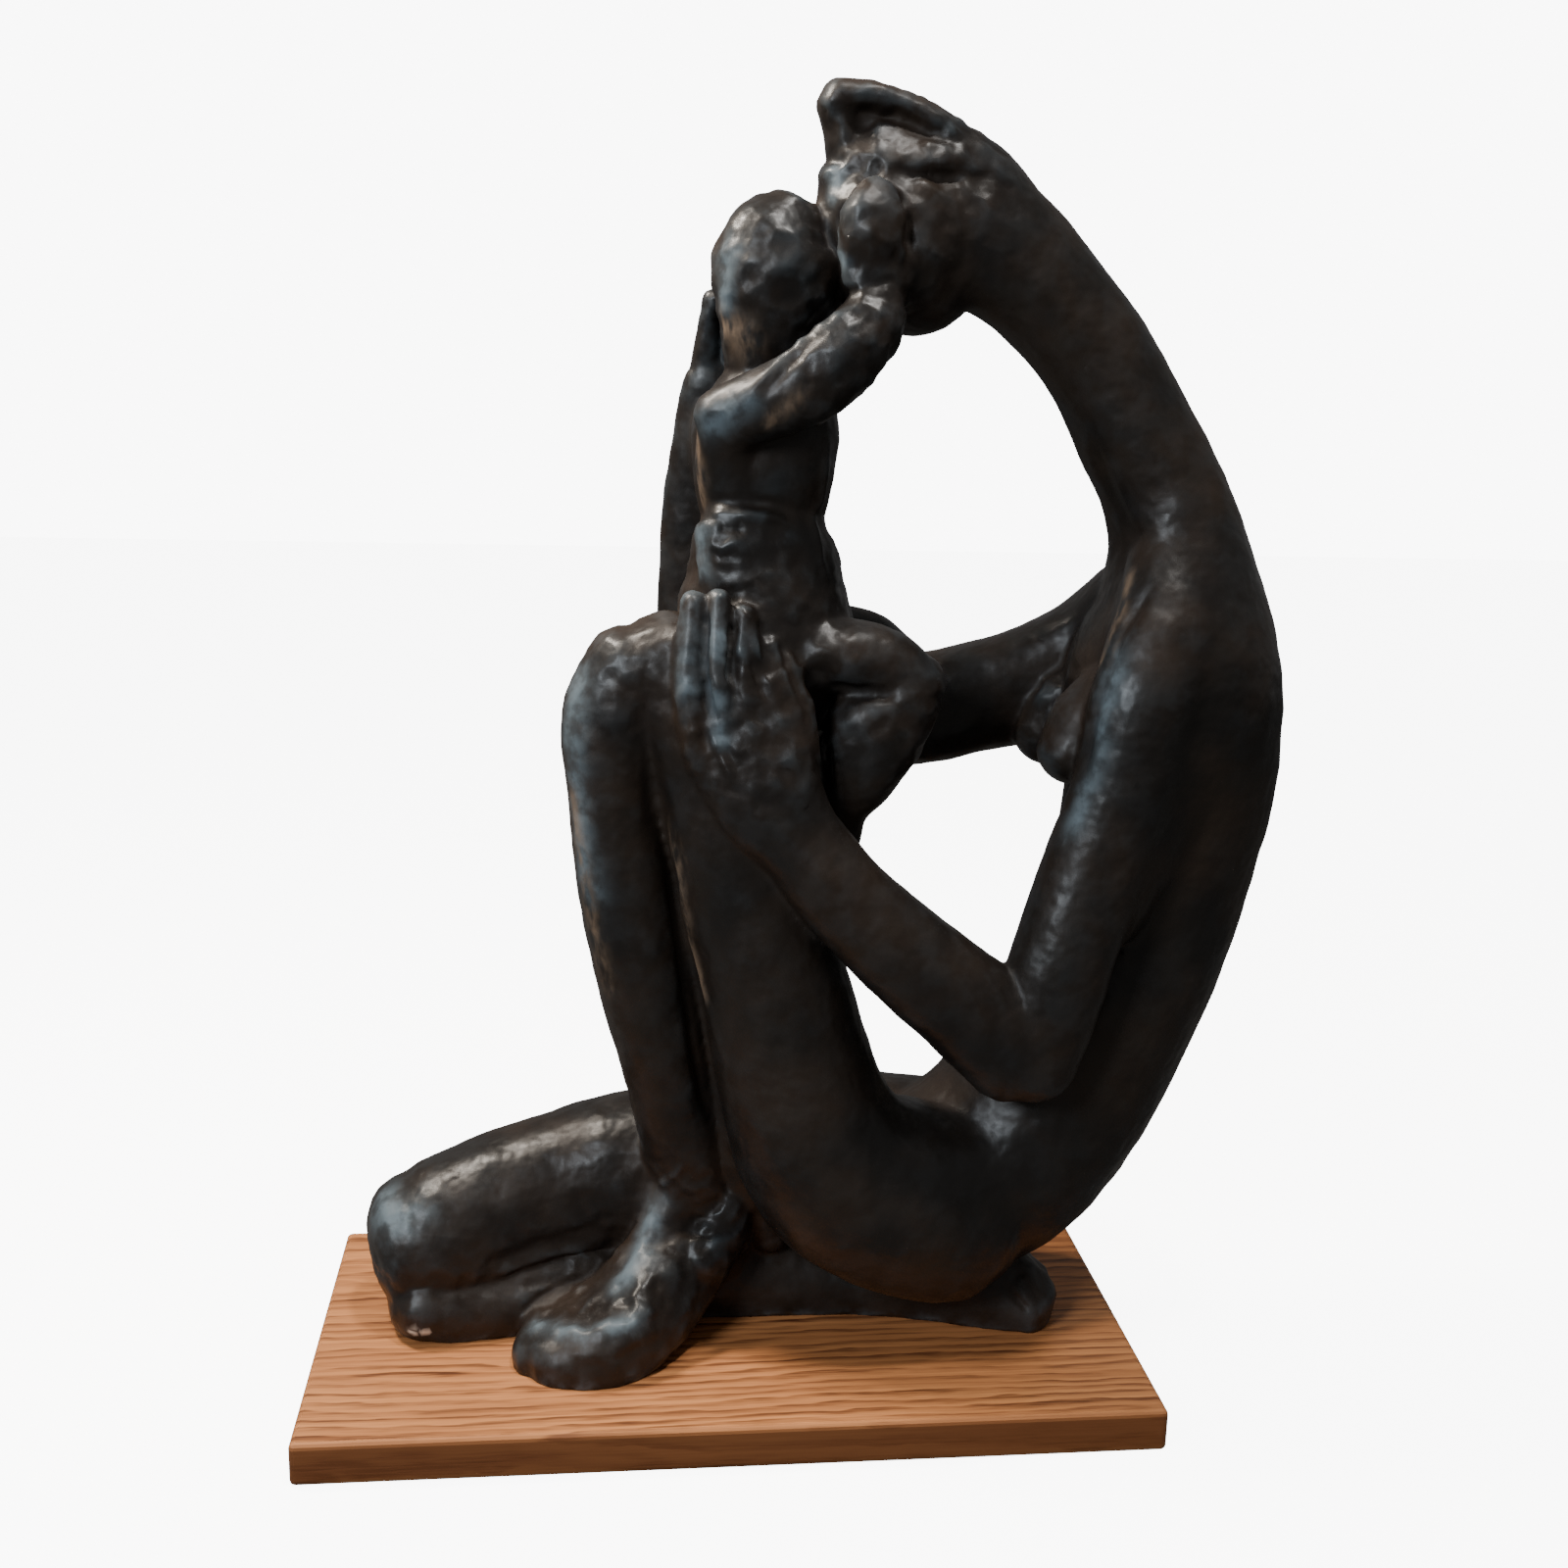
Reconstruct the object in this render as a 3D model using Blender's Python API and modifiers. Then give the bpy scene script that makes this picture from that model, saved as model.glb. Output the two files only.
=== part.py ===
"""Mother and child: a dark cast figure kneeling on an oak board.

Metres, +Z up. X runs along the board to the viewer's right, Y across it, away from the viewer.
The origin is the middle of the board's underside. The mother faces -X, and her near side is -Y.
"""

import math

import bmesh
import bpy
import numpy as np
from mathutils import Vector

# Oak board, a nominal one by eight plank
BOARD_LENGTH = 0.3683
BOARD_DEPTH = 0.1842
BOARD_THICKNESS = 0.01905
BOARD_ARRIS = 0.0025

# Casting: its height above the board, and the gap under it
FIGURE_HEIGHT = 0.541
SEAT_GAP = 0.0003

# Skin of the casting: the cell that fuses the limbs, the softening of their creases, the facets kept
SKIN_CELL = 0.002
SKIN_PASSES = 10
SKIN_FACETS = 9400

# Stations below are in millimetres of a figure 541 mm tall, from the middle of the board's top
UNIT = FIGURE_HEIGHT / 541
SIDES = 22
STEPS = 4

COLLECTION = "mother_and_child_sculpture"


def clear_scene():
    for old in list(bpy.data.objects):
        bpy.data.objects.remove(old, do_unlink=True)


def collection(name):
    made = bpy.data.collections.new(name)
    bpy.context.scene.collection.children.link(made)
    return made


def material(name, colour, roughness, metallic):
    made = bpy.data.materials.new(name)
    made.use_nodes = True
    shader = made.node_tree.nodes["Principled BSDF"]
    shader.inputs["Base Color"].default_value = (*colour, 1.0)
    shader.inputs["Roughness"].default_value = roughness
    shader.inputs["Metallic"].default_value = metallic
    return made


def spline(stations, steps):
    """Catmull-Rom rows through the stations, steps to a span."""
    rows = np.array(stations, float)
    ends = np.vstack([2 * rows[0] - rows[1], rows, 2 * rows[-1] - rows[-2]])
    out = []
    for i in range(1, len(rows)):
        before, start, end, after = ends[i - 1 : i + 3]
        for t in np.arange(steps) / steps:
            out.append(
                0.5
                * (
                    2 * start
                    + (end - before) * t
                    + (2 * before - 5 * start + 4 * end - after) * t**2
                    + (3 * start - before - 3 * end + after) * t**3
                )
            )
    out.append(rows[-1])
    return np.array(out)


def rounded_ends(rows, start, end):
    """The rows with a dome of sections added at each end, as long as that share of its half width."""
    out = list(rows)
    for share, row, inner, front in ((start, rows[0], rows[1], True), (end, rows[-1], rows[-2], False)):
        away = (row - inner)[:3]
        away /= np.linalg.norm(away)
        for angle in np.radians([25, 50, 72, 86]):
            dome = row.copy()
            dome[:3] += away * row[3] * share * math.sin(angle)
            dome[3:] *= math.cos(angle)
            if front:
                out.insert(0, dome)
            else:
                out.append(dome)
    return np.array(out)


def limb(skin, stations, start=0.8, end=0.8, square=2.0):
    """A closed skin over oval sections, squarer where square is over 2.

    A station is x, y, z, half width across the view, half depth.
    """
    rows = rounded_ends(spline(stations, STEPS), start, end)
    rows[:, :5] *= UNIT
    centres = rows[:, :3]
    along = np.gradient(centres, axis=0)
    rings = []
    for centre, way, (wide, deep) in zip(centres, along, rows[:, 3:5]):
        forward = Vector(way).normalized()
        depth = Vector((0, 1, 0))
        depth = (depth - forward * depth.dot(forward)).normalized()
        width = forward.cross(depth)
        ring = []
        for angle in np.arange(SIDES) * 2 * math.pi / SIDES:
            across = math.copysign(abs(math.cos(angle)) ** (2 / square), math.cos(angle))
            inward = math.copysign(abs(math.sin(angle)) ** (2 / square), math.sin(angle))
            ring.append(skin.verts.new(Vector(centre) + width * (wide * across) + depth * (deep * inward)))
        rings.append(ring)
    for one, two in zip(rings, rings[1:]):
        for i in range(SIDES):
            j = (i + 1) % SIDES
            skin.faces.new((one[i], two[i], two[j], one[j]))
    skin.faces.new(rings[0])
    skin.faces.new(rings[-1][::-1])


def mirrored(stations):
    """The stations on the far side of the middle plane."""
    return [(x, -y, z, wide, deep) for x, y, z, wide, deep in stations]


def mother_torso(skin):
    limb(skin, [
        (90, 0, 58, 44, 46), (127, 2, 80, 47, 49), (153, 1, 117, 46, 45), (173, 0, 157, 43.5, 42),
        (184, 0, 192, 44, 40), (190, 0, 223, 45, 42), (194, 0, 251, 46, 45), (195, 0, 276, 45.5, 49),
        (195, 0, 300, 44, 52), (194, 0, 326, 38.5, 49), (190, 0, 357, 30, 38), (182, 0, 381, 26.5, 30),
        (169, 0, 405, 25, 26), (147, 0, 440, 24, 24), (125, 0, 464, 25, 24), (106, 0, 479, 28, 25),
        (90, 0, 488, 30, 26),
    ])
    # Breasts, and the chest between them and the collar
    for side in (-1, 1):
        limb(skin, [
            (164, 19 * side, 308, 11, 12), (151, 21 * side, 286, 18, 17), (141, 23 * side, 271, 15, 14),
        ])
    limb(skin, [(184, 0, 362, 9, 18), (174, 0, 334, 14, 27), (164, 0, 308, 17, 33), (162, 0, 270, 18, 34)])


def mother_head(skin):
    limb(skin, [
        (58, 0, 508, 26, 22), (60, 0, 496, 33, 28), (66, 0, 480, 36.5, 30), (74, 0, 466, 30, 26),
        (78, 0, 460, 22, 20),
    ], end=0.6)
    # Crest of hair, swept up from the nape to a blunt tip over an open hollow
    limb(skin, [
        (140, 0, 462, 11, 16), (130, 0, 475, 13, 19), (114, 0, 489, 14, 21), (97, 0, 507, 13.5, 20),
        (82, 0, 520, 10, 18), (68, 0, 530, 7, 17), (52, 0, 535.5, 6.5, 16), (35, 0, 536.5, 7, 13),
    ])
    limb(skin, [(35, 0, 534, 8, 13), (38, 0, 524, 7.5, 11), (42, 0, 512, 9.5, 13)])
    limb(skin, [(42, 0, 526, 8, 8), (64, 0, 525, 8, 8), (86, 0, 519, 8, 10)])
    # Roll of hair over the brow
    limb(skin, [
        (96, 0, 509, 13, 19), (74, 0, 510.5, 13, 23.5), (52, 0, 507.5, 12.5, 21), (38, 0, 502, 10.5, 15),
    ])


def near_arm(skin):
    limb(skin, [
        (180, -3, 402, 10, 8), (185, -9, 376, 17, 15), (184, -19, 352, 22, 18), (180, -31, 328, 24.5, 20),
        (172, -38, 309, 24, 21), (165, -42, 293, 22.5, 21), (160, -44, 264, 22, 20),
        (150, -46, 233, 22, 19.5), (139, -50, 199, 22, 19.5), (130, -53, 170, 22.5, 19),
        (121, -53, 146, 23, 18),
    ])
    limb(skin, [
        (119, -53, 150, 25.5, 18), (101, -53, 166, 24, 19), (82, -53, 181, 22, 19),
        (55, -51, 205, 20.5, 18.5), (39, -50, 221, 19.5, 17), (24, -48, 240, 18.5, 15),
    ])
    # Fall of the shoulder into the back
    limb(skin, [
        (190, -20, 352, 16, 14), (190, -28, 318, 22, 20), (184, -32, 278, 20, 19), (174, -36, 238, 16, 17),
        (160, -40, 200, 10, 13),
    ])
    # Hand laid up the child's hip: the palm, then four long fingers
    limb(skin, [
        (26, -48, 236, 18, 15), (12, -47, 256, 23, 15), (5, -45, 274, 27, 14), (3, -42, 292, 26, 12),
        (1, -39, 306, 23, 10),
    ])
    limb(skin, [
        (-17, -44, 272, 7, 9), (-22, -44, 292, 6.5, 9), (-23, -41.5, 315, 6, 8), (-21, -38.5, 338, 5, 6),
    ])
    limb(skin, [
        (-6, -46, 274, 6, 9), (-10, -45.5, 296, 5.5, 9), (-12, -42.5, 318, 5.5, 8), (-11, -39, 339, 4.5, 6),
    ])
    limb(skin, [
        (6, -46, 270, 7, 9), (3, -45, 292, 7, 9), (0, -42, 314, 6.5, 8), (-1, -38.5, 333, 5, 6),
    ])
    limb(skin, [
        (20, -45, 258, 8, 9), (19, -44.5, 279, 8, 8.5), (15, -41.5, 301, 7, 8), (11, -38, 319, 5, 6),
    ])


def far_arm(skin):
    limb(skin, [
        (182, 24, 332, 22, 20), (166, 36, 308, 26, 22), (142, 40, 293, 26.5, 22), (111, 43, 284, 25, 21),
        (87, 45, 278.5, 25, 21), (40, 46, 274, 23, 20), (6, 44, 272, 21, 19), (-8, 42, 274, 19, 18),
    ], square=2.5)
    limb(skin, [
        (-6, 42, 272, 20, 17), (-12, 38, 298, 20, 15), (-15, 34, 325, 18, 13), (-15, 30, 366, 16.5, 11),
        (-12, 26, 403, 15, 9), (-11, 22, 422, 13, 8),
    ])
    limb(skin, [(-16, 25, 412, 7, 6), (-14, 20, 436, 5.5, 5), (-11, 16, 458, 4.5, 4.5)])
    limb(skin, [(-4, 25, 410, 7, 6), (-2, 20, 432, 5.5, 5), (-1, 18, 450, 4.5, 4.5)])


def near_leg(skin):
    limb(skin, [
        (102, -20, 60, 44, 34), (74, -24, 70, 45, 35), (46, -26, 88, 41, 34), (30, -26, 120, 36, 33),
        (16, -25, 175, 31.5, 31), (4, -24, 218, 30, 29), (-10, -22, 260, 27, 27), (-24, -20, 293, 23, 25),
        (-32, -19, 312, 21, 22),
    ], end=0.9)
    limb(skin, [
        (-43, -18, 307, 22.5, 22), (-51, -18, 285, 23.5, 22), (-51, -17, 250, 20.5, 22),
        (-48, -16, 219, 21, 22), (-42, -14, 187, 21.5, 22), (-37, -12, 165, 21.5, 21), (-29, -8, 130, 20, 19),
        (-21, -3, 96, 19.5, 17), (-14, 2, 66, 20, 17), (-6, 7, 40, 18, 15), (-2, 9, 22, 15, 14),
    ])
    # Web that closes the fold between shin and thigh
    limb(skin, [
        (-32, -11, 250, 10, 17), (-20, -9, 195, 10, 16), (-3, -5, 130, 12, 14), (7, -2, 80, 13, 15),
        (13, 6, 58, 13, 16), (20, 12, 38, 11, 16),
    ])
    # Foot: a paddle with a flat top, the heel drawn up to the ankle, the ridge of the instep and three toes
    limb(skin, [
        (4, 4, 46, 12, 14), (-12, 0, 37, 18, 18), (-28, -9, 25, 22, 23.5), (-44, -19, 13, 20.5, 29),
        (-59, -28, 7, 18, 32), (-73, -31, 4, 16, 28.5), (-85, -29, 2, 13.5, 20),
    ], end=0.85, square=3.2)
    limb(skin, [(3, 1, 62, 12, 15), (-2, -1, 49, 14, 18), (-14, -7, 34, 16, 21)])
    limb(skin, [(-20, -2, 68, 15, 12), (-27, -5, 50, 13, 12), (-38, -11, 32, 13, 14), (-50, -17, 19, 11, 17)])
    for toe in range(3):
        x = -84 + 4 * toe
        y = -14 - 9 * toe
        limb(skin, [(x + 24, y + 8, 15, 6.5, 6), (x + 8, y + 3, 12.5, 6, 6), (x - 5, y - 2, 8, 5.5, 6)])


def far_leg(skin):
    limb(skin, [
        (118, 24, 60, 40, 34), (60, 30, 64, 41, 36), (0, 30, 65, 38, 36), (-45, 28, 60, 37, 34),
        (-70, 28, 54, 36, 33), (-106, 22, 44, 36, 32), (-130, 15, 36, 35.5, 32), (-144, 12, 33, 32, 30),
    ], end=0.6, square=2.1)
    limb(skin, [
        (-139, 3, 14, 19, 27), (-110, 6, 9, 20, 25), (-86, 9, 11, 22, 24), (-60, 12, 12, 24, 23),
        (-16, 16, 10, 24, 22), (29, 15, 10, 24, 20), (66, 11, 9, 20, 19), (95, 6, 10, 22, 20),
        (120, -1, 11, 24, 21), (136, -7, 9, 21, 20), (146, -12, 6, 14, 18),
    ], end=0.5)


def child_torso(skin):
    limb(skin, [
        (14, -4, 292, 30, 30), (12, -4, 310, 37, 35), (11, -3, 328, 37, 35), (11, -2, 344, 33, 33),
        (10, -2, 358, 30, 30), (10, -1, 367, 26, 26), (10, 0, 373, 27, 26), (10, 0, 388, 29.5, 28),
        (10, 0, 403, 31, 27), (10, 0, 415, 28, 25), (9, 0, 430, 16, 16),
    ])
    # Hip on the near side, with a ledge under the waist
    limb(skin, [(6, -16, 344, 24, 18), (3, -15, 358, 22, 17), (0, -13.5, 369, 20, 15.5)], end=0.3, square=2.4)
    # Neck and head, its crown tucked under the mother's brow
    limb(skin, [
        (6, -2, 432, 14, 15), (9, -2, 444, 20.5, 20), (12, -2, 456, 25, 24), (14, -2, 469, 27.5, 25),
        (15.5, -2, 480, 24.5, 23), (18, -2, 486, 20, 19), (21, -2, 491, 14.5, 14),
    ], end=0.4)


def child_arm(skin, side):
    # The arm reaches up to the mother's cheek, and the armpit melts into the ribs
    arm = [
        (-10, -24, 408, 14, 13), (5, -30, 415, 14.5, 13), (24, -34, 423, 15.5, 13), (38, -35, 436, 15, 12.5),
        (49, -31, 450, 13, 11.5), (52, -25, 464, 10, 9.5),
    ]
    hand = [
        (48, -28, 467, 12, 10), (47.5, -29, 478, 13.5, 11), (48, -28, 489, 13, 10.5), (49, -26, 495, 10, 9),
    ]
    armpit = [(-6, -19, 406, 14, 14), (-6, -14, 388, 13, 14), (-2, -9, 368, 12, 13)]
    for stations in (arm, hand, armpit):
        limb(skin, stations if side < 0 else mirrored(stations))


def child_leg(skin, side):
    thigh = [(14, -18, 313, 21, 18), (38, -24, 314, 16, 17), (58, -27, 311, 15.5, 15), (72, -28, 301, 15, 14)]
    calf = [
        (68, -29, 298, 16, 15), (57, -29, 283, 21, 16), (50.5, -27, 266, 17.5, 15), (44, -24, 249, 12, 11),
        (44, -21, 234, 9, 8),
    ]
    for stations in (thigh, calf):
        limb(skin, stations if side < 0 else mirrored(stations))


def figure_skin():
    """Every limb of both figures as its own closed skin, overlapping its neighbours."""
    skin = bmesh.new()
    mother_torso(skin)
    mother_head(skin)
    near_arm(skin)
    far_arm(skin)
    near_leg(skin)
    far_leg(skin)
    child_torso(skin)
    for side in (-1, 1):
        child_arm(skin, side)
        child_leg(skin, side)
    bmesh.ops.recalc_face_normals(skin, faces=skin.faces)
    bmesh.ops.translate(skin, verts=skin.verts, vec=(0, 0, BOARD_THICKNESS + SEAT_GAP))
    return skin


def triangle_count(obj):
    graph = bpy.context.evaluated_depsgraph_get()
    mesh = obj.evaluated_get(graph).to_mesh()
    mesh.calc_loop_triangles()
    return len(mesh.loop_triangles)


def casting(parts, cutters):
    mesh = bpy.data.meshes.new("mother_and_child")
    skin = figure_skin()
    skin.to_mesh(mesh)
    skin.free()
    made = bpy.data.objects.new("mother_and_child", mesh)
    parts.objects.link(made)

    fuse = made.modifiers.new("fuse", "REMESH")
    fuse.mode = "VOXEL"
    fuse.voxel_size = SKIN_CELL
    soften = made.modifiers.new("soften", "SMOOTH")
    soften.factor = 0.5
    soften.iterations = SKIN_PASSES
    facets = made.modifiers.new("facets", "DECIMATE")
    facets.ratio = SKIN_FACETS / triangle_count(made)

    # The underside is ground flat where it meets the board
    bpy.ops.mesh.primitive_cube_add(size=1, location=(0, 0, 0))
    ground = bpy.context.object
    ground.name = "ground_cutter"
    ground.scale = (4 * BOARD_LENGTH, 4 * BOARD_DEPTH, FIGURE_HEIGHT)
    ground.location.z = BOARD_THICKNESS + SEAT_GAP - FIGURE_HEIGHT / 2
    bpy.ops.object.transform_apply(location=False, rotation=False, scale=True)
    ground.hide_render = True
    ground.display_type = "WIRE"
    for holder in list(ground.users_collection):
        holder.objects.unlink(ground)
    cutters.objects.link(ground)
    flat = made.modifiers.new("flat underside", "BOOLEAN")
    flat.operation = "DIFFERENCE"
    flat.object = ground

    mesh.shade_smooth()
    mesh.materials.append(material("dark patina", (0.022, 0.021, 0.020), 0.42, 0.0))
    return made


def board(parts):
    bpy.ops.mesh.primitive_cube_add(size=1, location=(0, 0, BOARD_THICKNESS / 2))
    made = bpy.context.object
    made.name = "oak_board"
    made.data.name = "oak_board"
    made.scale = (BOARD_LENGTH, BOARD_DEPTH, BOARD_THICKNESS)
    bpy.ops.object.transform_apply(location=False, rotation=False, scale=True)
    for holder in list(made.users_collection):
        holder.objects.unlink(made)
    parts.objects.link(made)
    arris = made.modifiers.new("arris", "BEVEL")
    arris.width = BOARD_ARRIS
    arris.segments = 3
    made.data.materials.append(material("oiled oak", (0.46, 0.26, 0.13), 0.5, 0.0))
    return made


clear_scene()
PARTS = collection(COLLECTION)
CUTTERS = collection("cutters")
board(PARTS)
casting(PARTS, CUTTERS)
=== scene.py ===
"""Mother and child: a dark cast figure kneeling on an oak board, its looks and its studio."""
import math

import bmesh
import bpy
import numpy as np
from mathutils import Matrix, Vector, noise


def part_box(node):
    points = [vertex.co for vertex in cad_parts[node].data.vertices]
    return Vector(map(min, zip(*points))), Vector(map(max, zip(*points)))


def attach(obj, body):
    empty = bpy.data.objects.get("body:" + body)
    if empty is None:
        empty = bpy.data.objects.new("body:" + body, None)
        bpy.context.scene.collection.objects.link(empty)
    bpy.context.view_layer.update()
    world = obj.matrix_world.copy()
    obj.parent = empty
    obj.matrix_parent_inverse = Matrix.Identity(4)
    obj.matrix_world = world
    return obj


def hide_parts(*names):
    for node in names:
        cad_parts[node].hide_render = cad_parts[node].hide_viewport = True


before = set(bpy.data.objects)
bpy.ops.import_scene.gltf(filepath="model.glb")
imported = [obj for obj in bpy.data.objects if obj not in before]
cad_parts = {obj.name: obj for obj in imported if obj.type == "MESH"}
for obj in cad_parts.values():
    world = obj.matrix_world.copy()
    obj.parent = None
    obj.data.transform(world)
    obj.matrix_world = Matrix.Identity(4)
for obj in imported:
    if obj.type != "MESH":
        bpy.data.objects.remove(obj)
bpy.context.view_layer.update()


# Oak board
# A length of planed red oak plank, flat sawn, with its grain along the board and its arrises eased.
# It is oiled and not varnished, so its pores stay open, and its sides are coloured darker than its face as
# painted shade.
RING_WIDTH = 0.0052
PITH_Y = 0.150
PITH_Z = -0.085
GRAIN_SWAY = 0.0085
OAK_LIGHT = (0.57, 0.235, 0.086)
OAK_MID = (0.34, 0.124, 0.040)
OAK_DARK = (0.14, 0.045, 0.015)
OAK_PORE = (0.075, 0.024, 0.009)
OAK_SIDE_SHADE = (0.15, 0.048, 0.015)
OAK_SHINE = 0.25
OAK_ROUGHNESS = 0.44
OAK_RELIEF = 0.0003


def add_node(tree, kind, values=None, **settings):
    """A node of that kind, with its settings and the plain values of its sockets."""
    made = tree.nodes.new(kind)
    for name, value in settings.items():
        setattr(made, name, value)
    for socket, value in (values or {}).items():
        made.inputs[socket].default_value = value
    return made


def arithmetic(tree, operation, first, second=0.5, clamp=False):
    """One sum of two sockets or numbers."""
    made = add_node(tree, "ShaderNodeMath", operation=operation, use_clamp=clamp)
    for socket, value in zip(made.inputs, (first, second)):
        if isinstance(value, (int, float)):
            socket.default_value = value
        else:
            tree.links.new(value, socket)
    return made.outputs[0]


def mixed(tree, share, first, second):
    """The first colour, turning into the second as the share goes from 0 to 1."""
    made = add_node(tree, "ShaderNodeMix", data_type="RGBA")
    for name, value in (("Factor_Float", share), ("A_Color", first), ("B_Color", second)):
        socket = next(one for one in made.inputs if one.identifier == name)
        if isinstance(value, tuple):
            socket.default_value = (*value, 1.0)
        else:
            tree.links.new(value, socket)
    return next(one for one in made.outputs if one.identifier == "Result_Color")


def new_material(name, roughness, metallic=0.0):
    made = bpy.data.materials.new(name)
    made.use_nodes = True
    shader = made.node_tree.nodes["Principled BSDF"]
    shader.inputs["Roughness"].default_value = roughness
    shader.inputs["Metallic"].default_value = metallic
    return made, made.node_tree, shader


def mottle_group():
    """Soft patches: noise along stretched axes, cut between a low and a high level to a mask."""
    group = bpy.data.node_groups.new("mottle", "ShaderNodeTree")
    face = group.interface
    face.new_socket("Vector", in_out="INPUT", socket_type="NodeSocketVector")
    face.new_socket("Stretch", in_out="INPUT", socket_type="NodeSocketVector")
    for name in ("Detail", "Low", "High"):
        face.new_socket(name, in_out="INPUT", socket_type="NodeSocketFloat")
    face.new_socket("Mask", in_out="OUTPUT", socket_type="NodeSocketFloat")
    given = add_node(group, "NodeGroupInput")
    result = add_node(group, "NodeGroupOutput")
    scaled = add_node(group, "ShaderNodeVectorMath", operation="MULTIPLY")
    patches = add_node(group, "ShaderNodeTexNoise", {"Scale": 1.0})
    levels = add_node(group, "ShaderNodeMapRange", interpolation_type="SMOOTHSTEP")
    group.links.new(given.outputs["Vector"], scaled.inputs[0])
    group.links.new(given.outputs["Stretch"], scaled.inputs[1])
    group.links.new(scaled.outputs[0], patches.inputs["Vector"])
    group.links.new(given.outputs["Detail"], patches.inputs["Detail"])
    group.links.new(patches.outputs[0], levels.inputs["Value"])
    group.links.new(given.outputs["Low"], levels.inputs["From Min"])
    group.links.new(given.outputs["High"], levels.inputs["From Max"])
    group.links.new(levels.outputs[0], result.inputs["Mask"])
    return group


MOTTLE = mottle_group()


def mottle(tree, place, stretch, detail, low, high):
    """The mask of the mottle group at that place, stretch being waves per metre along each axis."""
    made = add_node(tree, "ShaderNodeGroup", node_tree=MOTTLE)
    made.inputs["Stretch"].default_value = stretch
    for name, value in (("Detail", detail), ("Low", low), ("High", high)):
        made.inputs[name].default_value = value
    tree.links.new(place, made.inputs["Vector"])
    return made.outputs["Mask"]


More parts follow.
